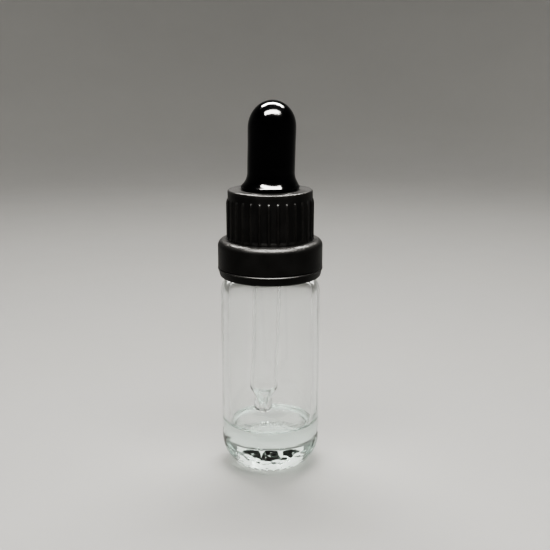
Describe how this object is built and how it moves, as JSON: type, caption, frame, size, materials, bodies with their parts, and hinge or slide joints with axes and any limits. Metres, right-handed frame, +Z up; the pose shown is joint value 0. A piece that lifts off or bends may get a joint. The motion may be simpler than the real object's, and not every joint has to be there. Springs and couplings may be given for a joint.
{
  "type": "dropper bottle",
  "caption": "Clear glass bottle with a thick base, a ribbed screw cap with a tamper ring, and a rubber bulb that holds a glass pipette.",
  "frame": {"origin": "centre of the bottle's base, on the surface it stands on", "axes": "+Z up along the bottle's axis, through the bulb; -Y faces the viewer; the pipette's tip leans towards -X"},
  "size_m": [0.0262, 0.0262, 0.0929],
  "materials": {
    "clear_glass": "polished clear container glass",
    "tube_glass": "fire-polished clear glass tube",
    "bulb_rubber": "glossy moulded black rubber",
    "cap_plastic": "fine-grained black polypropylene",
    "ring_plastic": "fine-grained black polypropylene"
  },
  "bodies": {
    "glass_bottle": {"bottle": "clear_glass"},
    "loose_ring": {"tamper_ring": "ring_plastic"},
    "dropper": {"bulb": "bulb_rubber", "pipette": "tube_glass"},
    "cap": {"screw_cap": "cap_plastic"}
  },
  "joints": [
    {"name": "ring_spin", "type": "hinge", "parent": "glass_bottle", "child": "loose_ring", "pos_m": [0, 0, 0.0544], "axis": [0, 0, 1], "continuous": true},
    {"name": "dropper_lift", "type": "slide", "parent": "glass_bottle", "child": "dropper", "axis": [0, 0, 1], "range_m": [0, 0.072]},
    {"name": "cap_turn", "type": "hinge", "parent": "dropper", "child": "cap", "pos_m": [0, 0, 0.0595], "axis": [0, 0, 1], "range_deg": [0, 8640]}
  ],
  "couplings": [
    {"joint": "dropper_lift", "follows": "cap_turn", "m_per_rad": 0.00047746}
  ]
}
